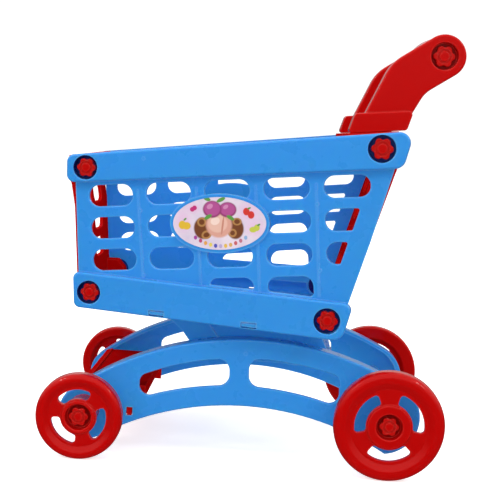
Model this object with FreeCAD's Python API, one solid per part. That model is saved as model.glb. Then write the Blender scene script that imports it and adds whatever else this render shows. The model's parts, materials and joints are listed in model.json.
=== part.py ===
import FreeCAD, Part
import math
import os

# Toy shopping cart, full size, millimetres.  +Z up, +X towards the handle,
# +Y the cart's right-hand side when it is pushed towards -X.
# The shapes are drawn in a frame whose origin lies on the ground midway
# between the two axles; save() moves them so that the origin of the part is
# the centre of its footprint.

V = FreeCAD.Vector
os.makedirs("parts", exist_ok=True)

# ---- driving dimensions ---------------------------------------------------
WHEELBASE = 235.0
R_REAR = 42.2
R_FRONT = 33.0
HUB_IN = 80.0            # inner end of a wheel's hub, from the centre plane
WHEEL_OUT = {"rear": 104.0, "front": 106.0}   # outer face of a rim
RIM_DEPTH = 12.0
SHANK_R = 4.0            # plain shank the wheel turns on
RUN_FIT = 0.08           # radial running clearance of a wheel
ARCH_OUT = 79.0          # outer face of a chassis arch
ARCH_IN = 65.0           # its open inner side
ARCH_WALL = 3.0
TOP_ARC = (8.6, -176.7, 235.7)   # centre and radius of the upper edge
LOW_ARC = (0.0, -211.8, 218.0)   # the same for the underside
# For each end: where the upper edge ends, the tip, where the underside ends.
REAR_TIP = (128.0, 142.6, -6.0, 117.0)
FRONT_TIP = (-128.0, -137.5, -3.0, -107.0)
TOP_MARGIN = 15.0        # width of the band above the windows
LOW_MARGIN = 16.0        # width of the band below them
REAR_WINDOW = (10.2, 80.2)
FRONT_WINDOW = (-74.8, -5.1)

TAPER = 7.8              # each side panel, degrees in plan
SIDE_Y = 89.8            # half width of the basket at mid wheelbase
WALL = 2.5               # thickness of a side panel
RAIL_OUT = 6.0           # how far the top rail stands out
BAND_OUT = 5.0           # how far the lower band stands out
GRID_TILT = 6.5          # slope of the rows of windows
PITCH_U = 45.3
PITCH_V = 24.8
HOLE_L = 17.2            # half length of a window
HOLE_H = 8.2             # half height of a window
FRONT_EDGE = (-136.3, 217.2, -0.0857)   # point and slope of the front edge
REAR_EDGE = (110.6, 245.3, 0.2714)      # the same for the rear edge

OVAL = (-20.8, 185.8, 4.6)              # centre and slope of the sign plate
OVAL_A = 35.7
OVAL_B = 19.9
SHEET = 3.0              # thickness of the front, rear and floor sheets

SCREW_R = 3.2
SCREW_HOLE_R = 3.25
SEAT = 1.0               # floor of a screw recess, inside the wall's face
# name: position along the panel, height, recess radius, stand-out there
SIDE_SCREWS = {
    "upper_front": (-126.6, 220.5, 9.2, RAIL_OUT),
    "upper_rear": (96.6, 250.0, 10.2, RAIL_OUT),
    "lower_front": (-119.2, 124.6, 9.0, BAND_OUT),
    "lower_rear": (65.9, 119.6, 9.8, BAND_OUT),
}

ARM_OUT = 77.0           # outer face of a handle arm
ARM_T = 16.0
GRIP_X = 138.8
GRIP_Z = 321.7
GRIP_R = 17.8            # at the middle of the barrel-shaped grip
GRIP_END_R = 13.6
ARM_DIR = 34.4           # slope of the upper part of an arm
ARM_HALF = 16.3          # half width of an arm, also its end radius

FRONT_X = -WHEELBASE / 2
REAR_X = WHEELBASE / 2
TILT = math.degrees(math.atan2(R_REAR - R_FRONT, WHEELBASE))
SHIFT_X = -((REAR_X + R_REAR) + (FRONT_X - R_FRONT)) / 2


# ---- helpers --------------------------------------------------------------
def rounded_wire(points, radii):
    """Closed wire in the XZ plane with an arc at every corner."""
    if not isinstance(radii, (list, tuple)):
        radii = [radii] * len(points)
    count = len(points)
    starts = []
    arcs = []
    for i in range(count):
        corner = V(points[i][0], 0, points[i][1])
        before = V(points[i - 1][0], 0, points[i - 1][1]) - corner
        after_point = points[(i + 1) % count]
        after = V(after_point[0], 0, after_point[1]) - corner
        before.normalize()
        after.normalize()
        radius = radii[i]
        half = before.getAngle(after) / 2
        reach = radius / math.tan(half)
        if radius < 1e-6:
            starts.append((corner, corner))
            arcs.append(None)
            continue
        bisector = before + after
        bisector.normalize()
        middle = corner + bisector * (radius / math.sin(half) - radius)
        first = corner + before * reach
        last = corner + after * reach
        starts.append((first, last))
        arcs.append(Part.Arc(first, middle, last).toShape())
    edges = []
    for i in range(count):
        if arcs[i] is not None:
            edges.append(arcs[i])
        leave = starts[i][1]
        reach_next = starts[(i + 1) % count][0]
        if leave.distanceToPoint(reach_next) > 1e-5:
            edges.append(Part.LineSegment(leave, reach_next).toShape())
    return Part.Wire(edges)


def prism(points, y0, y1, radii=0.0):
    """Outline in the XZ plane, pushed along Y from y0 to y1."""
    face = Part.Face(rounded_wire(points, radii))
    face.translate(V(0, y0, 0))
    return face.extrude(V(0, y1 - y0, 0))


def plan_prism(points, z0, z1):
    wire = Part.makePolygon([V(x, y, z0) for x, y in points + points[:1]])
    return Part.Face(wire).extrude(V(0, 0, z1 - z0))


def box(x0, x1, y0, y1, z0, z1):
    return Part.makeBox(x1 - x0, y1 - y0, z1 - z0, V(x0, y0, z0))


def rod(x, z, radius, y0, y1):
    return Part.makeCylinder(radius, y1 - y0, V(x, y0, z), V(0, 1, 0))


def mirror(shape):
    return shape.mirror(V(0, 0, 0), V(0, 1, 0))


def join(shapes):
    whole = shapes[0]
    if len(shapes) > 1:
        whole = whole.fuse(shapes[1:])
    return whole.removeSplitter()


def soften(shape, keep, radius):
    """Fillet the edges for which keep(edge) is true."""
    edges = [edge for edge in shape.Edges if keep(edge)]
    return shape.makeFillet(radius, edges)


def on_plane(y):
    """Test: does the whole edge lie at this Y?"""
    def test(edge):
        bounds = edge.BoundBox
        return abs(bounds.YMin - y) < 1e-4 and abs(bounds.YMax - y) < 1e-4
    return test


def recess_tool(x, z, radius, y0, depth):
    """Round recess from y0 inwards, its mouth rounded over."""
    lip = 0.7
    mouth = Part.Arc(V(radius + lip, 0, 0),
                     V(radius + lip * 0.293, lip * 0.293, 0),
                     V(radius, lip, 0)).toShape()
    lines = Part.makePolygon([V(radius, lip, 0), V(radius, depth, 0),
                              V(0, depth, 0), V(0, -1, 0),
                              V(radius + lip, -1, 0), V(radius + lip, 0, 0)])
    face = Part.Face(Part.Wire([mouth] + lines.Edges))
    tool = face.revolve(V(0, 0, 0), V(0, 1, 0), 360)
    tool.translate(V(x, y0, z))
    return tool


def obround(cx, cz, half_l, half_h, angle, y0, y1):
    """Window with round ends, its long axis at an angle in the XZ plane."""
    points = [(-half_l, -half_h), (half_l, -half_h),
              (half_l, half_h), (-half_l, half_h)]
    shape = prism(points, y0, y1, half_h - 0.3)
    shape.rotate(V(0, 0, 0), V(0, 1, 0), -angle)
    shape.translate(V(cx, 0, cz))
    return shape


def oval(a, b, y0, y1):
    ellipse = Part.Ellipse(V(0, 0, 0), a, b)
    face = Part.Face(Part.Wire(ellipse.toShape()))
    face.rotate(V(0, 0, 0), V(1, 0, 0), 90)
    face.rotate(V(0, 0, 0), V(0, 1, 0), -OVAL[2])
    face.translate(V(OVAL[0], y0, OVAL[1]))
    return face.extrude(V(0, y1 - y0, 0))


def star(x, z, radius, y0, y1):
    """Head with six broad round lobes."""
    points = []
    for i in range(72):
        turn = 2 * math.pi * i / 72
        notch = ((1 - math.cos(6 * turn)) / 2) ** 1.5
        r = radius * (1 - 0.19 * notch)
        points.append(V(x + r * math.cos(turn), y0, z + r * math.sin(turn)))
    curve = Part.BSplineCurve()
    curve.interpolate(points, PeriodicFlag=True)
    face = Part.Face(Part.Wire(curve.toShape()))
    return face.extrude(V(0, y1 - y0, 0))


def star_screw(x, z, seat, head_r, head_t, shank_r, tip):
    """Screw along +Y: head outside its seat (lower Y), shank up to tip."""
    face = seat - head_t
    head = soften(star(x, z, head_r, face, seat), on_plane(face), 0.9)
    groove = rod(x, z, head_r * 0.66, face - 1, face + 0.8)
    crown = soften(rod(x, z, head_r * 0.46, face - 0.5, face + 1.2),
                   on_plane(face - 0.5), 0.6)
    return join([head.cut(groove), crown, rod(x, z, shank_r, seat - 0.5, tip)])


def save(name, shape):
    solids = shape.Solids
    shape = solids[0] if len(solids) == 1 else Part.makeCompound(solids)
    shape.translate(V(SHIFT_X, 0, 0))
    shape.exportStep("parts/" + name + ".step")


# ---- basket frame of reference -------------------------------------------
def place_side(shape):
    """From the flat drawing of the left panel to its place in the cart.

    In the drawing the outer face of the wall lies in Y = 0 and +Y points
    into the basket.
    """
    shape.rotate(V(0, 0, 0), V(0, 0, 1), -TAPER)
    shape.translate(V(0, -SIDE_Y, 0))
    return shape


def edge_at(edge, z):
    p, z0, slope = edge
    return p + (z - z0) * slope


def band_low(p):
    """Lower edge of the lower band."""
    return 112.2 + (p + 130.9) * (105.4 - 112.2) / (77.7 + 130.9)


def inner_half(x, gap=0.15):
    """Half width of the room between the side panels."""
    turn = math.radians(TAPER)
    return SIDE_Y + x * math.tan(turn) - WALL / math.cos(turn) - gap


def inner_plan(z0, z1):
    ends = (-150.0, 130.0)
    points = [(ends[0], -inner_half(ends[0])), (ends[1], -inner_half(ends[1])),
              (ends[1], inner_half(ends[1])), (ends[0], inner_half(ends[0]))]
    return plan_prism(points, z0, z1)


RAIL = [(-142.0, 229.2), (119.0, 264.5), (112.9, 236.9), (-141.2, 207.9)]
RAIL_IN = [(-139.3, 226.8), (115.7, 261.4), (110.8, 239.2), (-138.7, 210.5)]
BAND = [(-133.1, 139.9), (84.3, 134.0), (77.7, 105.4), (-130.9, 112.2)]
BAND_IN = [(-130.4, 137.2), (81.2, 131.4), (75.7, 108.0), (-128.3, 114.7)]
TABS = (-65.0, 7.0)      # positions of the floor tabs along the panel
TAB_L = 6.0
TAB_T = 2.7              # a little thinner than the floor they grow from
FLOOR_MID = 3.1          # middle of the floor above the band's lower edge


def cross(a, b, c, d):
    """Where the line a-b meets the line c-d, all as (x, z)."""
    ux, uz = b[0] - a[0], b[1] - a[1]
    vx, vz = d[0] - c[0], d[1] - c[1]
    t = ((c[0] - a[0]) * vz - (c[1] - a[1]) * vx) / (ux * vz - uz * vx)
    return (a[0] + t * ux, a[1] + t * uz)


def side_windows():
    """Five columns by three rows, and two low windows in a fourth row.

    The last column is cut short beside the rear edge, the fourth row above
    the lower band.
    """
    tilt = math.radians(GRID_TILT)
    u = (math.cos(tilt), math.sin(tilt))
    v = (-math.sin(tilt), math.cos(tilt))
    rear = [(edge_at(REAR_EDGE, 240) - 16, 240), (edge_at(REAR_EDGE, 135) - 16, 135)]
    sill = [(-134, 141.6), (64.5, 135.9)]
    round_end = HOLE_H - 0.3
    windows = []
    for col in range(-2, 3):
        for row in range(4):
            if row == 3 and col not in (0, 1):
                continue
            mid_x = -17.16 + u[0] * col * PITCH_U - v[0] * row * PITCH_V
            mid_z = 210.6 + u[1] * col * PITCH_U - v[1] * row * PITCH_V
            corners = []
            for a, b in ((-HOLE_L, -HOLE_H), (HOLE_L, -HOLE_H),
                         (HOLE_L, HOLE_H), (-HOLE_L, HOLE_H)):
                corners.append((mid_x + a * u[0] + b * v[0],
                                mid_z + a * u[1] + b * v[1]))
            radii = [round_end] * 4
            if col == 2 and row > 0:
                low = cross(corners[0], corners[1], rear[0], rear[1])
                top = cross(corners[3], corners[2], rear[0], rear[1])
                corners[1:3] = [low, top]
                radii = [round_end, 1.5, 1.5, round_end]
            if row == 3:
                left = cross(corners[0], corners[3], sill[0], sill[1])
                right = cross(corners[1], corners[2], sill[0], sill[1])
                corners[0:2] = [left, right]
                radii = [3.0, 3.0, round_end, round_end]
            if row == 3 and col == 0:
                corners[3] = (corners[3][0] + 4.0 * u[0],
                              corners[3][1] + 4.0 * u[1])
                radii = [1.0, 1.2, round_end - 0.6, 5.0]
            windows.append(prism(corners, -1, WALL + 1, radii))
    return windows


def inside_field(edge):
    """Is this edge part of a window, and not of the wall's own outline?"""
    bounds = edge.BoundBox
    return (bounds.XMin > edge_at(FRONT_EDGE, bounds.ZMin) + 4
            and bounds.XMax < edge_at(REAR_EDGE, bounds.ZMax) - 8
            and bounds.ZLength < 60)


def side_panel():
    wall = prism([(edge_at(FRONT_EDGE, 219), 219),
                  (edge_at(REAR_EDGE, 250) - 1.9, 250),
                  (edge_at(REAR_EDGE, 180), 180),
                  (edge_at(REAR_EDGE, 120), 120),
                  (edge_at(FRONT_EDGE, 126), 126)], 0, WALL)
    wall = wall.cut(Part.makeCompound(side_windows()))
    rims = [edge for edge in wall.Edges if on_plane(0)(edge)
            and inside_field(edge)]
    wall = wall.makeFillet(0.8, rims)
    rail = prism(RAIL, -RAIL_OUT, WALL, [6, 8, 8, 6])
    rail = soften(rail, on_plane(-RAIL_OUT), 1.8)
    rail = rail.cut(prism(RAIL_IN, -RAIL_OUT + WALL, WALL + 1, 4))
    band = prism(BAND, -BAND_OUT, WALL, [5, 6, 9, 5])
    band = soften(band, on_plane(-BAND_OUT), 1.8)
    band = band.cut(prism(BAND_IN, -BAND_OUT + WALL, WALL + 1, 3))
    solids = [wall, rail, band, oval(OVAL_A + 2.6, OVAL_B + 2.6, -2.0, WALL)]

    tilt = math.radians(GRID_TILT)
    for col in (-1.5, -0.5, 0.5, 1.5):
        top_p = -17.16 + col * PITCH_U - 1.0
        low_p = top_p + 8.5
        lean = 0.7
        rib = [(top_p - lean, 214 + col * 5), (top_p + lean, 214 + col * 5),
               (low_p + lean, 137), (low_p - lean, 137)]
        solids.append(prism(rib, -0.45, 0.5))
    for col, row in ((-1.5, 0.5), (1.5, 0.5), (1.5, 2.5), (-1.5, 2.5)):
        p = -17.16 + col * PITCH_U * math.cos(tilt) + row * PITCH_V * math.sin(tilt)
        z = 210.6 + col * PITCH_U * math.sin(tilt) - row * PITCH_V * math.cos(tilt)
        solids.append(rod(p, z, 1.3, -0.9, 0.5))

    solids.append(rod(-81.4, 230.5, 1.2, -RAIL_OUT - 0.35, -RAIL_OUT + 1))
    for p, z, recess, out in SIDE_SCREWS.values():
        post = rod(p, z, recess + 1.6, -out + 1.0, WALL)
        solids.append(post.common(prism(RAIL if z > 200 else BAND,
                                        -out, WALL, 5)))
    panel = join(solids)
    cuts = []
    for p, z, recess, out in SIDE_SCREWS.values():
        cuts.append(recess_tool(p, z, recess, -out, out + SEAT))
        cuts.append(rod(p, z, SCREW_R + 0.3, -1, WALL + 1))
    for p in TABS:
        mid = band_low(p) + FLOOR_MID
        cuts.append(box(p - TAB_L, p + TAB_L, -BAND_OUT - 1, WALL + 1,
                        mid - 2.3, mid + 2.3))
    return place_side(panel.cut(Part.makeCompound(cuts)))


def side_screw(key):
    p, z, recess, out = SIDE_SCREWS[key]
    return place_side(star_screw(p, z, SEAT, recess * 0.81, out - 0.8,
                                 SCREW_R, 12.5))


def screw_bores(keys):
    """Holes for the basket screws in whatever they are driven into."""
    left = []
    for key in keys:
        p, z = SIDE_SCREWS[key][:2]
        left.append(place_side(rod(p, z, SCREW_HOLE_R, 0, 14)))
    return Part.makeCompound(left + [mirror(shape) for shape in left])


def blocks(points, depth):
    """The same block against the left and the right side panel."""
    x_low = min(x for x, z in points)
    outer = inner_half(max(x for x, z in points))
    block = prism(points, -outer - 5, -inner_half(x_low) + depth)
    block = block.common(inner_plan(90, 300))
    return [block, mirror(block)]


def front_panel():
    profile = [(-127.9, 112.6), (-134.6, 190.0), (-138.2, 207.5),
               (-141.0, 212.0), (-141.0, 228.8), (-131.0, 230.2),
               (-131.0, 223.0), (-133.8, 223.0), (-133.8, 226.6),
               (-138.2, 226.0), (-138.2, 213.4), (-135.4, 208.6),
               (-131.8, 190.0), (-125.0, 112.6)]
    sheet = prism(profile, -90, 90).common(inner_plan(90, 300))
    windows = []
    for y in (-24.0, 24.0):
        for z in (196.0, 173.0, 150.3):
            window = obround(y, z, 19.0, 7.8, 0, 110, 150)
            window.rotate(V(0, 0, 0), V(0, 0, 1), 90)
            windows.append(window)
    sheet = sheet.cut(Part.makeCompound(windows))
    upper = [(-139.5, 212.5), (-139.5, 228.0), (-119.0, 230.4), (-118.0, 212.0)]
    lower = [(-127.5, 118.3), (-128.4, 134.5), (-117.5, 134.5),
             (-111.5, 127.5), (-109.5, 118.3)]
    solids = [sheet] + blocks(upper, 12.0) + blocks(lower, 12.0)
    return join(solids).cut(screw_bores(("upper_front", "lower_front")))


def rear_panel():
    profile = [(72.7, 107.6), (89.7, 172.0), (107.6, 236.0), (111.0, 252.0),
               (111.0, 257.5), (106.5, 263.5), (70.0, 259.3), (70.0, 249.0),
               (72.8, 249.0), (72.8, 256.7), (105.2, 260.4), (108.2, 256.6),
               (108.2, 252.4), (104.6, 236.7), (86.7, 172.7), (69.6, 107.6)]
    sheet = prism(profile, -120, 120).common(inner_plan(90, 300))
    windows = []
    for col in (-1.5, -0.5, 0.5, 1.5):
        for row in range(4):
            z = 218.0 - row * 24.0
            window = obround(0, z, HOLE_L, 7.8, 0, -130, -60)
            window.rotate(V(0, 0, 0), V(0, 0, 1), 90)
            window.translate(V(0, col * 45.3, 0))
            windows.append(window)
    sheet = sheet.cut(Part.makeCompound(windows))
    upper = [(86.0, 242.0), (86.0, 259.5), (105.0, 261.5), (109.0, 256.5),
             (106.5, 242.0)]
    lower = [(60.2, 112.4), (60.2, 127.0), (75.5, 127.0), (71.5, 112.4)]
    solids = [sheet] + blocks(upper, 12.0) + blocks(lower, 12.0)
    panel = join(solids).cut(screw_bores(("upper_rear", "lower_rear")))
    slots = []
    for side in (-1, 1):
        mid = side * (ARM_OUT - ARM_T / 2)
        slots.append(box(83.8, 104.2, mid - 4.2, mid + 4.2, 240, 270))
    return panel.cut(Part.makeCompound(slots))


def basket_floor():
    x0 = -124.7
    x1 = 68.9
    scale = 1 / math.cos(math.radians(TAPER))
    z0 = band_low(x0 * scale) + FLOOR_MID - SHEET / 2
    z1 = band_low(x1 * scale) + FLOOR_MID - SHEET / 2
    plate = prism([(x0, z0), (x0, z0 + SHEET), (x1, z1 + SHEET), (x1, z1)],
                  -120, 120).common(inner_plan(90, 300))
    corners = []
    for near, far, inner in ((x0 - 1, -109.2, 57.2), (59.9, x1 + 1, 82.6)):
        for side in (-1, 1):
            corners.append(box(near, far, min(side * inner, side * 130),
                               max(side * inner, side * 130), 100, 125))
    plate = plate.cut(Part.makeCompound(corners))
    solids = [plate]
    for p in TABS:
        tab = []
        for q, lift in ((p - TAB_L + 0.2, -1), (p + TAB_L - 0.2, -1),
                        (p + TAB_L - 0.2, 1), (p - TAB_L + 0.2, 1)):
            tab.append((q, band_low(q) + FLOOR_MID + lift * TAB_T / 2))
        tab = place_side(prism(tab, -BAND_OUT + 0.8, WALL + 3))
        solids.append(tab)
        solids.append(mirror(tab))
    return join(solids)


# ---- chassis ---------------------------------------------------------------
def on_arc(arc, inset, s):
    """Point at s on an arc moved into the frame by the inset."""
    x, z, radius = arc
    radius += inset
    return V(s, 0, z + math.sqrt(radius ** 2 - (s - x) ** 2))


def arch_prism(inset, drop, y0, y1):
    """Outline of an arch in its own frame, along and above the axle line.

    inset moves its top and ends inwards, drop moves its lower edge down.
    """
    ends = []
    for top, tip, tip_z, low in (REAR_TIP, FRONT_TIP):
        inward = inset if tip < 0 else -inset
        ends.append((on_arc(TOP_ARC, -inset, top + inward * 0.5),
                     V(tip + inward, 0, tip_z),
                     on_arc(LOW_ARC, -drop, low)))
    rear, front = ends
    edges = [
        Part.Arc(front[0], on_arc(TOP_ARC, -inset, 0), rear[0]),
        Part.Arc(rear[0], rear[1], rear[2]),
        Part.Arc(rear[2], on_arc(LOW_ARC, -drop, 0), front[2]),
        Part.Arc(front[2], front[1], front[0]),
    ]
    face = Part.Face(Part.Wire([edge.toShape() for edge in edges]))
    face.translate(V(0, y0, 0))
    return face.extrude(V(0, y1 - y0, 0))


def arch_window(s0, s1):
    """One long window between the bands; its ends beside the post are round."""
    mid = (s0 + s1) / 2
    top = [on_arc(TOP_ARC, -TOP_MARGIN, s) for s in (s0, mid, s1)]
    low = [on_arc(LOW_ARC, LOW_MARGIN, s) for s in (s1, mid, s0)]
    edges = [Part.Arc(*top).toShape(),
             Part.LineSegment(top[2], low[0]).toShape(),
             Part.Arc(*low).toShape(),
             Part.LineSegment(low[2], top[0]).toShape()]
    face = Part.Face(Part.Wire(edges))
    face.translate(V(0, -ARCH_OUT - 1, 0))
    window = face.extrude(V(0, ARCH_WALL + 2, 0))
    for near, radius in ((True, 8.8), (False, 7.5)):
        window = soften(window, lambda edge: edge.BoundBox.XLength < 1e-3
                        and edge.BoundBox.ZLength < 1e-3
                        and (abs(edge.BoundBox.XMin) < 40) == near, radius)
    return window


def window_rim(edge):
    """Is this edge the rim of a window in an arch's outer face?"""
    reach = max(abs(edge.BoundBox.XMin), abs(edge.BoundBox.XMax))
    return on_plane(-ARCH_OUT)(edge) and reach < 90


def tilt_chassis(shape):
    shape.rotate(V(0, 0, 0), V(0, 1, 0), -TILT)
    shape.translate(V(0, 0, (R_FRONT + R_REAR) / 2))
    return shape


def arch():
    """Side of the chassis: a web with a flange along its top and ends."""
    outer = arch_prism(0, 0, -ARCH_OUT, -ARCH_IN)
    outer = soften(outer, on_plane(-ARCH_OUT), 1.8)
    frame = outer.cut(arch_prism(ARCH_WALL, 3.0, -ARCH_OUT + ARCH_WALL,
                                 -ARCH_IN + 1))
    frame = frame.cut(Part.makeCompound([arch_window(*FRONT_WINDOW),
                                         arch_window(*REAR_WINDOW)]))
    frame = tilt_chassis(soften(frame, window_rim, 1.0))
    mark = rod(5.3, 85.7, 1.4, -ARCH_OUT - 0.4, -ARCH_OUT + 0.5)
    solids = [frame, mark]
    for x, z in ((FRONT_X, R_FRONT), (REAR_X, R_REAR)):
        solids.append(rod(x, z, 9.0, -ARCH_OUT + 1, -ARCH_IN))
        solids.append(rod(x, z, 7.5, -HUB_IN + 0.4, -ARCH_OUT + 1))
    frame = join(solids)
    cuts = []
    for x, z in ((FRONT_X, R_FRONT), (REAR_X, R_REAR)):
        cuts.append(rod(x, z, SHANK_R + 0.05, -HUB_IN - 1, -ARCH_IN + 1))
    cuts.append(box(-84.7, -79.7, -ARCH_OUT - 1, -ARCH_OUT + ARCH_WALL + 1,
                    30.4, 37.0))
    return frame.cut(Part.makeCompound(cuts))


def chassis_deck():
    """Bridge between the arches with the raked pedestal under the basket."""
    x0 = -36.0
    x1 = 72.0
    skin = WALL
    low = 77.5
    top = 88.0
    solids = [box(x0, x1, -ARCH_IN, ARCH_IN, top - skin, top)]
    for y in (-ARCH_IN, ARCH_IN - skin):
        solids.append(box(x0, x1, y, y + skin, low, top))
    for x in (x0, x1 - skin):
        solids.append(box(x, x + skin, -ARCH_IN, ARCH_IN, low, top))
    for x in (-22.0, 44.0):
        for side in (-1, 1):
            inner = side * (ARCH_IN - 1)
            outer = side * (ARCH_OUT - ARCH_WALL - 0.2)
            solids.append(box(x - 6, x + 6, min(inner, outer),
                              max(inner, outer), 79.0, 85.0))
    scale = 1 / math.cos(math.radians(TAPER))
    seat = lambda x: band_low(x * scale) + FLOOR_MID - SHEET / 2
    rake = [(-37.0, 86.0), (-41.0, 90.0), (-46.0, 96.5), (-53.0, 102.5),
            (-66.0, seat(-66.0)), (58.0, seat(58.0)), (62.5, 101.0),
            (67.5, 91.0), (69.5, 86.0)]
    hollow = [(-33.0, 80.0), (-33.0, 87.0), (-38.0, 91.3), (-43.5, 98.5),
              (-51.0, 105.0), (-57.0, seat(-57.0) - skin),
              (55.0, seat(55.0) - skin), (60.0, 100.0), (64.5, 90.0),
              (66.0, 80.0)]
    pedestal = prism(rake, -58, 58)
    leg = prism([(-37.0, 86.0), (-41.0, 90.0), (-46.0, 96.5), (-53.0, 102.5),
                 (-66.0, seat(-66.0)), (-30.5, seat(-30.5)), (-12.0, 86.0)],
                -60, 60)
    room = prism(hollow, -55.5, 55.5)
    return join(solids + [pedestal, leg]).cut(room)


def front_cross_brace():
    """Tray between the arches, held by a tab in a window of each arch."""
    x0 = -125.0
    x1 = -72.0
    top = 51.5
    tray = box(x0, x1, -ARCH_IN, ARCH_IN, 42.5, top)
    tray = soften(tray, lambda edge: edge.BoundBox.YLength > 100
                  and edge.BoundBox.ZMin > 50 and edge.BoundBox.XMax < -100, 4.0)
    tray = tray.cut(box(x0 + 2.5, x1 - 2.5, -ARCH_IN + 2.5, ARCH_IN - 2.5,
                        42.0, top - 2.5))
    solids = [tray, box(-119.5, -118.0, -ARCH_IN + 2, ARCH_IN - 2,
                        top - 1, top + 1.2)]
    for y in (-30.0, 0.0, 30.0):
        solids.append(box(x0 + 2, x1 - 2, y - 1, y + 1, 43.5, top - 2))
    for side in (-1, 1):
        flange = (side * (ARCH_IN - 2.5), side * ARCH_IN)
        tab = (side * (ARCH_IN - 2), side * (ARCH_OUT - 0.8))
        solids.append(box(-94.0, -73.0, min(flange), max(flange), 28.0, 50.0))
        solids.append(box(-83.9, -80.5, min(tab), max(tab), 30.4, 37.0))
    return join(solids)


# ---- wheels ------------------------------------------------------------------
def wheel(end, radius, ridge, crown, line, hub, slot_in, slot_out, first_slot):
    """Left wheel about the Y axis through the origin, outer face at lower Y."""
    out = -WHEEL_OUT[end]
    rim = out + RIM_DEPTH
    face = out + 2.2
    back = face + 3.2
    bore = SHANK_R + RUN_FIT
    recess = 9.8
    corners = [
        (bore, -HUB_IN, 0.4), (12.2, -HUB_IN, 0.8), (12.2, back, 1.2),
        (line, back, 1.8), (line + 2.5, rim, 1.6),
        (radius, rim, 2.0), (radius, out, crown), (ridge, out, 4.2),
        (line + 0.4, face, 1.5), (hub + 0.8, face, 0.7),
        (hub, out + 0.6, 1.0), (recess + 0.2, out + 0.6, 0.8),
        (recess - 0.3, out + 6.5, 0.6), (bore, out + 6.5, 0.4),
    ]
    outline = rounded_wire([(r, y) for r, y, bend in corners],
                           [bend for r, y, bend in corners])
    outline.rotate(V(0, 0, 0), V(1, 0, 0), -90)
    solid = Part.Face(outline).revolve(V(0, 0, 0), V(0, 1, 0), 360)
    reach = 40.5
    slots = []
    for i in range(3):
        centre = first_slot + 120 * i
        ring = Part.makeCylinder(slot_out, 30, V(0, out - 5, 0), V(0, 1, 0))
        ring = ring.cut(Part.makeCylinder(slot_in, 40, V(0, out - 9, 0),
                                          V(0, 1, 0)))
        wedge = []
        for turn in (-reach, -reach / 2, 0, reach / 2, reach):
            a = math.radians(centre + turn)
            wedge.append((80 * math.cos(a), 80 * math.sin(a)))
        slot = ring.common(prism([(0, 0)] + wedge, out - 9, out + 31))
        slots.append(soften(slot, lambda edge: edge.BoundBox.XLength < 1e-3
                            and edge.BoundBox.ZLength < 1e-3, 2.6))
    for slot in slots:
        solid = solid.cut(slot)
    return solid


def wheel_screw(end, x, z):
    seat = -WHEEL_OUT[end] + 6.1
    return star_screw(x, z, seat, 7.4, 3.6, SHANK_R, -ARCH_IN - 1.0)


# ---- handle ------------------------------------------------------------------
def handle_arm():
    turn = math.radians(ARM_DIR)
    along = (math.cos(turn), math.sin(turn))
    across = (-math.sin(turn), math.cos(turn))

    def local(a, b):
        return (GRIP_X + a * along[0] + b * across[0],
                GRIP_Z + a * along[1] + b * across[1])
    outline = [(79.5, 268.0), local(-36.3, ARM_HALF), local(ARM_HALF, ARM_HALF),
               local(ARM_HALF, -ARM_HALF), local(-26.4, -ARM_HALF), (113.1, 268.0)]
    inner = -ARM_OUT + ARM_T
    arm = prism(outline, -ARM_OUT, inner,
                [0, 34, ARM_HALF - 0.05, ARM_HALF - 0.05, 22, 0])
    arm = soften(arm, lambda edge: (on_plane(-ARM_OUT)(edge)
                                    or on_plane(inner)(edge))
                 and edge.BoundBox.ZMax > 268.5, 1.6)
    collar = prism([(70.7, 259.6), (75.3, 275.0), (119.3, 279.9), (115.0, 264.8)],
                   -ARM_OUT - 2, inner + 2, [2.5, 3.0, 3.0, 3.0])
    collar = soften(collar, on_plane(-ARM_OUT - 2), 0.9)
    collar = soften(collar, on_plane(inner + 2), 0.9)
    tang = box(84.0, 104.0, -ARM_OUT + ARM_T / 2 - 4, -ARM_OUT + ARM_T / 2 + 4,
               250.0, 266.0)
    whole = join([arm, collar, tang])
    whole = whole.cut(recess_tool(GRIP_X, GRIP_Z, 10.2, -ARM_OUT, 7))
    return whole.cut(rod(GRIP_X, GRIP_Z, SCREW_R + 0.3, -ARM_OUT, inner + 1))


def handle_grip():
    half = ARM_OUT - ARM_T
    curve = Part.Arc(V(GRIP_END_R, -half, 0), V(GRIP_R, 0, 0),
                     V(GRIP_END_R, half, 0)).toShape()
    lines = Part.makePolygon([V(GRIP_END_R, half, 0), V(0, half, 0),
                              V(0, -half, 0), V(GRIP_END_R, -half, 0)])
    face = Part.Face(Part.Wire([curve] + lines.Edges))
    grip = face.revolve(V(0, 0, 0), V(0, 1, 0), 360)
    grip.translate(V(GRIP_X, 0, GRIP_Z))
    bores = [rod(GRIP_X, GRIP_Z, SCREW_HOLE_R, -half - 1, -half + 20),
             rod(GRIP_X, GRIP_Z, SCREW_HOLE_R, half - 20, half + 1)]
    return grip.cut(Part.makeCompound(bores))


def handle_screw():
    return star_screw(GRIP_X, GRIP_Z, -ARM_OUT + 7, 8.3, 4.6, SCREW_R,
                      -ARM_OUT + ARM_T + 18)


# ---- build and save ----------------------------------------------------------
left_side = side_panel()
save("right_side_panel", mirror(left_side))
save("left_side_panel", left_side)
for key in SIDE_SCREWS:
    screw = side_screw(key)
    save(key + "_right_screw", mirror(screw))
    save(key + "_left_screw", screw)
sign = place_side(oval(OVAL_A, OVAL_B, -2.3, -2.0))
save("right_label", mirror(sign))
save("left_label", sign)
save("front_panel", front_panel())
save("rear_panel", rear_panel())
save("basket_floor", basket_floor())

left_arch = arch()
save("right_arch_frame", mirror(left_arch))
save("left_arch_frame", left_arch)
save("chassis_deck", chassis_deck())
save("front_cross_brace", front_cross_brace())

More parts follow.
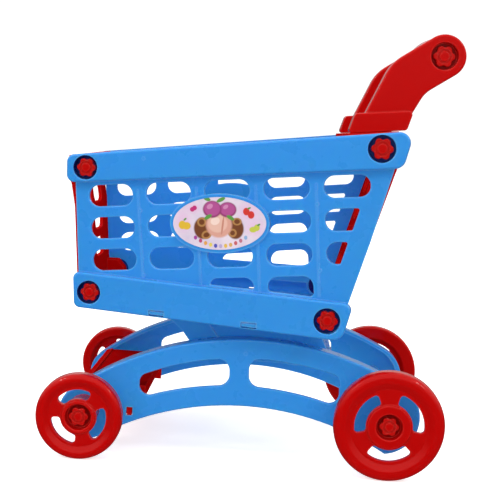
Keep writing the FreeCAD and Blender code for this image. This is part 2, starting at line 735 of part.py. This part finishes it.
# name of the end, axle, radii of the face, first slot left and right
for name, x, z, radii, turns in (
        ("rear", REAR_X, R_REAR, (34.2, 5.0, 28.8, 16.4, 17.7, 26.5),
         (33.5, 85.0)),
        ("front", FRONT_X, R_FRONT, (27.6, 4.2, 22.9, 12.4, 13.9, 21.1),
         (104.3, 60.0))):
    left_wheel = wheel(name, z, *radii, turns[0])
    right_wheel = wheel(name, z, *radii, turns[1])
    left_wheel.translate(V(x, 0, z))
    right_wheel.translate(V(x, 0, z))
    screw = wheel_screw(name, x, z)
    save(name + "_right_wheel", mirror(right_wheel))
    save(name + "_left_wheel", left_wheel)
    save(name + "_right_wheel_screw", mirror(screw))
    save(name + "_left_wheel_screw", screw)

left_arm = handle_arm()
save("right_handle_arm", mirror(left_arm))
save("left_handle_arm", left_arm)
save("handle_grip", handle_grip())
left_knob = handle_screw()
save("right_handle_screw", mirror(left_knob))
save("left_handle_screw", left_knob)
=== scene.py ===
import json
import math

import bpy
from mathutils import Matrix, Vector


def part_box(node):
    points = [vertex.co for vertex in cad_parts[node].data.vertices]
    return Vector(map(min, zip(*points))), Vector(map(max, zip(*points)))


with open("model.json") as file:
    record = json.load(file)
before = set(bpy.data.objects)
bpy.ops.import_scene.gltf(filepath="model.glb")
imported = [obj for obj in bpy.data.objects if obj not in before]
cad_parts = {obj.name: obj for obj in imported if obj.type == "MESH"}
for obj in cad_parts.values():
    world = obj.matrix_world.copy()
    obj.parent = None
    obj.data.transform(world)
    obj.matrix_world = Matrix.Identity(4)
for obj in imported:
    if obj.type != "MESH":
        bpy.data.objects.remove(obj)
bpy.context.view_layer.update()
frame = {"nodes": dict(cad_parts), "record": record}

NODES = frame["nodes"]
TAPER = math.radians(7.8)        # each side of the basket, in plan
SIGN_TILT = math.radians(4.6)    # slope of the stickers
SIGN_A = 0.0357                  # half length of a sticker
# Recesses that hold the star screws: how the screws' names begin, radius; shade is
# painted into them.
BASKET_RECESSES = {"upper_front": 0.0092, "upper_rear": 0.0102,
                   "lower_front": 0.0090, "lower_rear": 0.0098}
WHEEL_RECESS = 0.0098
HANDLE_RECESS = 0.0102
SHADE_DEPTH = 0.03               # how far a recess's painted shade reaches either way
SHADE_MARGIN = 1.02              # a basket recess's painted shade over its radius
EDGE_WIDTH = 0.0018              # how far from an edge the painted highlight reaches
SKIN_DEPTH = 0.0002              # height of the fine skin's bumps
GLOW_DEPTH = 0.012               # how far light travels under plastic
THROUGH = 1000                   # a spot this deep goes through a sticker
FLOOR_HALF = 8.0
CART_MIDDLE = Vector((0, 0, 0.17))
# The camera: degrees in the part's frame, metres, millimetres of lens.
YAW, PITCH, ROLL = (math.radians(a) for a in (-1.37, 6.22, -3.88))
EYE = Vector((0.018575, -0.9139, 0.2573))
SENSOR_WIDTH = 36.0
FOCAL_LENGTH = 79.2


# ---- shader helpers ----------------------------------------------------------
def add(tree, kind, **settings):
    """A new shader node with these settings."""
    node = tree.nodes.new("ShaderNode" + kind)
    for key, value in settings.items():
        setattr(node, key, value)
    return node


def place_in(tree, source, centre, turn, size):
    """Coordinates measured in a frame at centre, turned and scaled."""
    node = add(tree, "Mapping", vector_type="TEXTURE")
    node.inputs["Location"].default_value = centre
    node.inputs["Rotation"].default_value = turn
    node.inputs["Scale"].default_value = size
    tree.links.new(source, node.inputs["Vector"])
    return node.outputs["Vector"]


def remap(tree, source, low, high, start, end):
    """Value that goes from start to end while source goes from low to high."""
    node = add(tree, "MapRange")
    node.inputs["From Min"].default_value = low
    node.inputs["From Max"].default_value = high
    node.inputs["To Min"].default_value = start
    node.inputs["To Max"].default_value = end
    tree.links.new(source, node.inputs["Value"])
    return node.outputs["Result"]


def noise(tree, source, scale, detail, seed):
    """Smooth random value; another seed gives another pattern."""
    node = add(tree, "TexNoise", noise_dimensions="4D")
    node.inputs["W"].default_value = seed
    node.inputs["Scale"].default_value = scale
    node.inputs["Detail"].default_value = detail
    tree.links.new(source, node.inputs["Vector"])
    return node.outputs["Fac"]


def two_tone(tree, source, dark, light):
    """Colour between dark and light as the noise goes from low to high."""
    node = add(tree, "ValToRGB")
    for element, at, colour in zip(node.color_ramp.elements, (0.3, 0.7),
                                   (dark, light)):
        element.position = at
        element.color = (*colour, 1)
    tree.links.new(source, node.inputs["Fac"])
    return node.outputs["Color"]


def spot(tree, base, coords, centre, turn, size, colour, edge):
    """Base colour with a round or oval spot of another colour on it."""
    near = place_in(tree, coords, centre, turn, size)
    far = add(tree, "VectorMath", operation="LENGTH")
    tree.links.new(near, far.inputs[0])
    mask = remap(tree, far.outputs["Value"], 1 - edge, 1 + edge, 1, 0)
    node = add(tree, "MixRGB")
    tree.links.new(mask, node.inputs["Fac"])
    tree.links.new(base, node.inputs["Color1"])
    node.inputs["Color2"].default_value = (*colour, 1)
    return node.outputs["Color"]


def edge_mask(tree, width, most):
    """Strength of a painted edge highlight: up to most within about width of an edge,
    0 on a flat face.
    """
    soft = add(tree, "Bevel", samples=6)
    soft.inputs["Radius"].default_value = width
    flat = add(tree, "NewGeometry")
    dot = add(tree, "VectorMath", operation="DOT_PRODUCT")
    tree.links.new(soft.outputs["Normal"], dot.inputs[0])
    tree.links.new(flat.outputs["Normal"], dot.inputs[1])
    return remap(tree, dot.outputs["Value"], 0.995, 0.93, 0, most)


def turned(x_axis, normal):
    """Euler turn of a frame with this first axis and this third axis."""
    return Matrix((x_axis, normal.cross(x_axis), normal)).transposed().to_euler()


def side_axes(side, tilt):
    """First axis along a side of the basket as its viewer reads it, normal."""
    s = -1 if side == "left" else 1
    along = Vector((math.cos(TAPER) * math.cos(tilt),
                    s * math.sin(TAPER) * math.cos(tilt), math.sin(tilt)))
    return along * -s, Vector((-math.sin(TAPER), s * math.cos(TAPER), 0))


def middle(node):
    """Middle of a piece's box."""
    low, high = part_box(node)
    return (low + high) / 2


# ---- materials -------------------------------------------------------------
def plastic(name, tone, seed, highlight_amount=0.33, coat=0.3, shine=0.5, recesses=(),
            shade=None):
    """Moulded plastic: faint mottling, painted edge highlight, painted recess shade,
    uneven gloss, fine skin.

    The fourth argument is how strongly edges are painted pale as a highlight, coat and
    shine how much it mirrors; each recess is (middle, turn, radius) and shade the
    colour of the shade painted into it.
    """
    colour, highlight_colour, tint, rough = tone
    mat = bpy.data.materials.new(name)
    mat.use_nodes = True
    tree = mat.node_tree
    shader = tree.nodes["Principled BSDF"]
    coords = add(tree, "TexCoord").outputs["Object"]

    base = two_tone(tree, noise(tree, coords, 22, 3, seed),
                    [c * 0.994 for c in colour], [c * 1.006 for c in colour])
    # Painted highlight: near edges the colour is mixed towards a paler one.
    pale = add(tree, "MixRGB")
    tree.links.new(edge_mask(tree, EDGE_WIDTH, highlight_amount), pale.inputs["Fac"])
    tree.links.new(base, pale.inputs["Color1"])
    pale.inputs["Color2"].default_value = (*highlight_colour, 1)
    base = pale.outputs["Color"]
    # Painted shade: a dark spot over each screw recess.
    for centre, turn, radius in recesses:
        base = spot(tree, base, coords, centre, turn,
                    (radius, radius, SHADE_DEPTH), shade, 0.02)
    tree.links.new(base, shader.inputs["Base Color"])
    gloss = remap(tree, noise(tree, coords, 60, 6, seed + 5), 0.3, 0.7,
                  rough - 0.02, rough + 0.02)
    tree.links.new(gloss, shader.inputs["Roughness"])
    bump = add(tree, "Bump")
    bump.inputs["Strength"].default_value = 0.05
    bump.inputs["Distance"].default_value = SKIN_DEPTH
    tree.links.new(noise(tree, coords, 700, 2, seed), bump.inputs["Height"])
    tree.links.new(bump.outputs["Normal"], shader.inputs["Normal"])

    shader.inputs["IOR"].default_value = 1.5
    shader.inputs["Specular Tint"].default_value = (*tint, 1)
    shader.inputs["Specular IOR Level"].default_value = shine
    shader.inputs["Coat Weight"].default_value = coat
    shader.inputs["Coat Roughness"].default_value = 0.07
    shader.inputs["Subsurface Weight"].default_value = 0.5
    shader.inputs["Subsurface Radius"].default_value = [GLOW_DEPTH * c for c in colour]
    shader.inputs["Subsurface Scale"].default_value = 1.0
    return mat


# What a sticker shows: a heap of fruit, small fruit around it and a row of dots
# below, as ovals (across, up, half width, half height, turn, colour) in
# hundredths of the sticker's half length and degrees.
NUT = (0.16, 0.045, 0.012)
NUT_LIGHT = (0.42, 0.20, 0.06)
LEAF = (0.10, 0.30, 0.05)
PEAR = (0.70, 0.44, 0.03)
LIME = (0.52, 0.55, 0.06)
BERRY = (0.50, 0.02, 0.16)
APPLE = (0.60, 0.03, 0.02)
PLUM = (0.26, 0.03, 0.14)
PLUM_LIT = (0.42, 0.07, 0.26)
PLUM_SHINE = (0.58, 0.22, 0.42)
PEACH = (0.66, 0.33, 0.26)
PEACH_LIT = (0.74, 0.45, 0.36)
PEACH_SHINE = (0.83, 0.62, 0.54)
PEACH_SEAM = (0.56, 0.22, 0.16)
BLUSH = (0.72, 0.50, 0.68)
FRUIT = [
    (-78, 5, 15, 22, 0, BLUSH), (62, 24, 20, 17, 0, BLUSH),
    (76, -10, 18, 16, 0, BLUSH), (-56, 32, 14, 10, 0, BLUSH),
    (-36, -10, 19, 23, 0, NUT), (-38, 3, 10, 10, 0, NUT_LIGHT),
    (-38, 3, 6, 6, 0, NUT), (-28, -24, 11, 9, 20, NUT_LIGHT),
    (-28, -24, 7, 5, 20, NUT),
    (34, -11, 18, 22, 0, NUT), (38, 4, 10, 8, 0, NUT_LIGHT),
    (38, 4, 6, 5, 0, NUT), (28, -20, 9, 9, -20, NUT_LIGHT),
    (28, -20, 5, 5, -20, NUT),
    (-1, -3, 28, 27, 0, PEACH), (-4, 0, 21, 19, 0, PEACH_LIT),
    (-9, 5, 10, 8, 20, PEACH_SHINE), (7, -4, 2, 20, -8, PEACH_SEAM),
    (18, 29, 19, 16, 0, PLUM), (18, 30, 16, 13, 0, PLUM_LIT),
    (-15, 30, 20, 18, 0, PLUM), (-15, 31, 17, 15, 0, PLUM_LIT),
    (-20, 36, 7, 5, 30, PLUM_SHINE), (14, 35, 6, 4, 30, PLUM_SHINE),
    (4, 50, 10, 4, 25, LEAF), (-26, 52, 8, 4, -20, LEAF),
    (-24, 14, 9, 4, 30, LEAF), (24, 12, 9, 4, -30, LEAF),
    (-58, 30, 5, 5, 0, BERRY), (-53, 33, 5, 5, 0, BERRY),
    (-80, -3, 8, 9, 0, PEAR), (-71, -5, 9, 8, 0, PEAR),
    (-74, 9, 4, 2, 40, LEAF),
    (58, 25, 7, 8, 0, APPLE), (68, 18, 7, 8, 0, APPLE), (64, 32, 4, 2, 20, LEAF),
    (72, -13, 8, 6, 0, LIME), (80, -9, 6, 7, 0, LIME), (84, -3, 4, 2, 30, LEAF),
]
DOTS = [(0.35, 0.04, 0.30), (0.45, 0.05, 0.15), (0.72, 0.33, 0.06),
        (0.74, 0.58, 0.10), (0.08, 0.08, 0.45), (0.45, 0.36, 0.60),
        (0.74, 0.45, 0.06), (0.66, 0.38, 0.10), (0.55, 0.10, 0.12),
        (0.50, 0.15, 0.22), (0.25, 0.40, 0.65)]
# The row of dots hangs as a shallow curve from its ends.
ROW_START, ROW_END, ROW_LOW, ROW_CURVE = -52, 56, -48, 0.0062
for i, colour in enumerate(DOTS):
    across = ROW_START + (ROW_END - ROW_START) * i / (len(DOTS) - 1)
    off_middle = across - (ROW_START + ROW_END) / 2
    FRUIT.append((across, ROW_LOW + ROW_CURVE * off_middle ** 2, 3.6, 4.4, 0, colour))


def vinyl(side):
    """Printed sticker: pale ground and a generic fruit motif."""
    mat = bpy.data.materials.new(side + "_label_vinyl")
    mat.use_nodes = True
    tree = mat.node_tree
    shader = tree.nodes["Principled BSDF"]
    coords = add(tree, "TexCoord").outputs["Object"]
    sign = place_in(tree, coords, middle(side + "_label"),
                    turned(*side_axes(side, SIGN_TILT)), [SIGN_A / 100] * 3)
    base = two_tone(tree, noise(tree, coords, 90, 4, 3.0),
                    (0.62, 0.52, 0.66), (0.76, 0.66, 0.74))
    for across, up, half_width, half_height, turn, colour in FRUIT:
        edge = 0.45 if colour == BLUSH else 0.08
        base = spot(tree, base, sign, (across, up, 0), (0, 0, math.radians(turn)),
                    (half_width, half_height, THROUGH), colour, edge)
    tree.links.new(base, shader.inputs["Base Color"])
    gloss = remap(tree, noise(tree, coords, 120, 4, 4.0), 0.3, 0.7, 0.28, 0.40)
    tree.links.new(gloss, shader.inputs["Roughness"])
    return mat


# Where shade is painted into the screw recesses: in the basket's sides, then in wheels
# and handle arms.
recessed = []
for side in ("left", "right"):
    for key, radius in BASKET_RECESSES.items():
        recessed.append((middle(f"{key}_{side}_screw"),
                         turned(*side_axes(side, 0)), radius * SHADE_MARGIN))
sunk = []
for row in frame["record"]["subparts"]:
    if row["node"].endswith(("wheel_screw", "handle_screw")):
        radius = WHEEL_RECESS if "wheel" in row["node"] else HANDLE_RECESS
        sunk.append((middle(row["node"]),
                     turned(Vector((1, 0, 0)), Vector((0, -1, 0))), radius))
# Colour, colour of the painted edge highlight, tint of the shine, roughness.
BLUE_TONE = ((0.033, 0.268, 0.68), (0.26, 0.52, 0.92), (0.4, 0.7, 1.0), 0.28)
RED_TONE = ((0.46, 0.0020, 0.0020), (0.72, 0.09, 0.07), (1.0, 0.10, 0.08), 0.25)
# Both shade colours below are painted shade at the bottom of the screw recesses.
BLUE = plastic("blue_plastic", BLUE_TONE, 1.0, recesses=recessed,
               shade=(0.004, 0.012, 0.12))
RED = plastic("red_plastic", RED_TONE, 2.0, highlight_amount=0.2, coat=0.25)
RED_RECESS_SHADED = plastic("red_plastic_painted_recess_shade", RED_TONE, 2.0, highlight_amount=0.2, coat=0.25,
                   recesses=sunk, shade=(0.22, 0.0010, 0.0010))
RED_SATIN = plastic("red_plastic_satin", RED_TONE, 2.0, highlight_amount=0.1, coat=0.0,
                    shine=0.0)

# Front, rear and brace are satin, so that they don't mirror the blue.
for row in frame["record"]["subparts"]:
    node = row["node"]
    mat = {"blue_plastic": BLUE, "red_plastic": RED}.get(row["material_slot"])
    if node in ("front_panel", "rear_panel", "front_cross_brace"):
        mat = RED_SATIN
    # Wheels and handle arms take the red with painted shade in their screw recesses.
    if node.endswith(("wheel", "handle_arm")):
        mat = RED_RECESS_SHADED
    if node.endswith("label"):
        mat = vinyl(node.split("_")[0])
    NODES[node].data.materials.clear()
    NODES[node].data.materials.append(mat)

# ---- floor, light, camera ----------------------------------------------------
floor_mesh = bpy.data.meshes.new("floor")
floor_mesh.from_pydata([(x * FLOOR_HALF, y * FLOOR_HALF, 0) for x, y in
                        ((-1, -1), (1, -1), (1, 1), (-1, 1))], [],
                       [(0, 1, 2, 3)])
floor = bpy.data.objects.new("floor", floor_mesh)
bpy.context.scene.collection.objects.link(floor)
floor_mat = bpy.data.materials.new("floor")
floor_mat.use_nodes = True
shader = floor_mat.node_tree.nodes["Principled BSDF"]
shader.inputs["Base Color"].default_value = (0.95, 0.95, 0.95, 1)
shader.inputs["Roughness"].default_value = 0.8
shader.inputs["Emission Color"].default_value = (1, 1, 1, 1)
shader.inputs["Emission Strength"].default_value = 0.60
floor_mesh.materials.append(floor_mat)
floor.visible_glossy = False
floor.visible_diffuse = False

# A white room: even soft light, and bright walls above the floor line for the
# plastic to mirror.
world = bpy.data.worlds.new("studio")
world.use_nodes = True
tree = world.node_tree
sky = tree.nodes["Background"]
ray = add(tree, "LightPath").outputs
split = add(tree, "SeparateXYZ")
tree.links.new(add(tree, "TexCoord").outputs["Generated"],
               split.inputs["Vector"])
strength = remap(tree, split.outputs["Z"], -0.02, 0.35, 0.04, 1.1)
for kind, value in (("Is Diffuse Ray", 0.60), ("Is Camera Ray", 1.1)):
    mix = add(tree, "Mix")
    mix.inputs["B"].default_value = value
    tree.links.new(strength, mix.inputs["A"])
    tree.links.new(ray[kind], mix.inputs["Factor"])
    strength = mix.outputs["Result"]
tree.links.new(strength, sky.inputs["Strength"])
sky.inputs["Color"].default_value = (1, 1, 1, 1)
bpy.context.scene.world = world


def area(name, place, size, power, mirrored=False, shadow=True):
    """Soft light aimed at the cart; mirrored ones show in the plastic."""
    light = bpy.data.lights.new(name, "AREA")
    light.shape = "RECTANGLE"
    light.size, light.size_y = size
    light.energy = power
    light.use_shadow = shadow
    lamp = bpy.data.objects.new(name, light)
    bpy.context.scene.collection.objects.link(lamp)
    lamp.location = place
    away = Vector(place) - CART_MIDDLE
    lamp.rotation_euler = away.to_track_quat("Z", "Y").to_euler()
    lamp.visible_glossy = mirrored


area("high", (0.0, -1.4, 1.8), (1.2, 0.7), 6)
area("low", (0.0, -1.9, 0.30), (1.2, 0.5), 11, shadow=False)
area("left", (-1.2, -0.9, 1.2), (0.16, 0.4), 4, mirrored=True)
area("right", (1.2, -0.9, 1.2), (0.16, 0.4), 4, mirrored=True)
area("top", (0.0, 0.2, 1.7), (1.4, 1.2), 9)
area("back", (0.0, 1.9, 0.9), (1.4, 1.0), 8)

# The camera looks from EYE, turned by YAW, tipped by PITCH, leaning by ROLL.
forward = Vector((math.sin(YAW) * math.cos(PITCH),
                  math.cos(YAW) * math.cos(PITCH), -math.sin(PITCH)))
level = Vector((math.cos(YAW), -math.sin(YAW), 0))
down = forward.cross(level)
right = level * math.cos(ROLL) + down * math.sin(ROLL)
below = down * math.cos(ROLL) - level * math.sin(ROLL)
pose = Matrix((right, -below, -forward)).transposed().to_4x4()
pose.translation = EYE
lens = bpy.data.cameras.new("camera")
lens.sensor_width = SENSOR_WIDTH
lens.lens = FOCAL_LENGTH
camera = bpy.data.objects.new("camera", lens)
bpy.context.scene.collection.objects.link(camera)
camera.matrix_world = pose
bpy.context.scene.camera = camera
bpy.context.scene.view_settings.view_transform = "Standard"
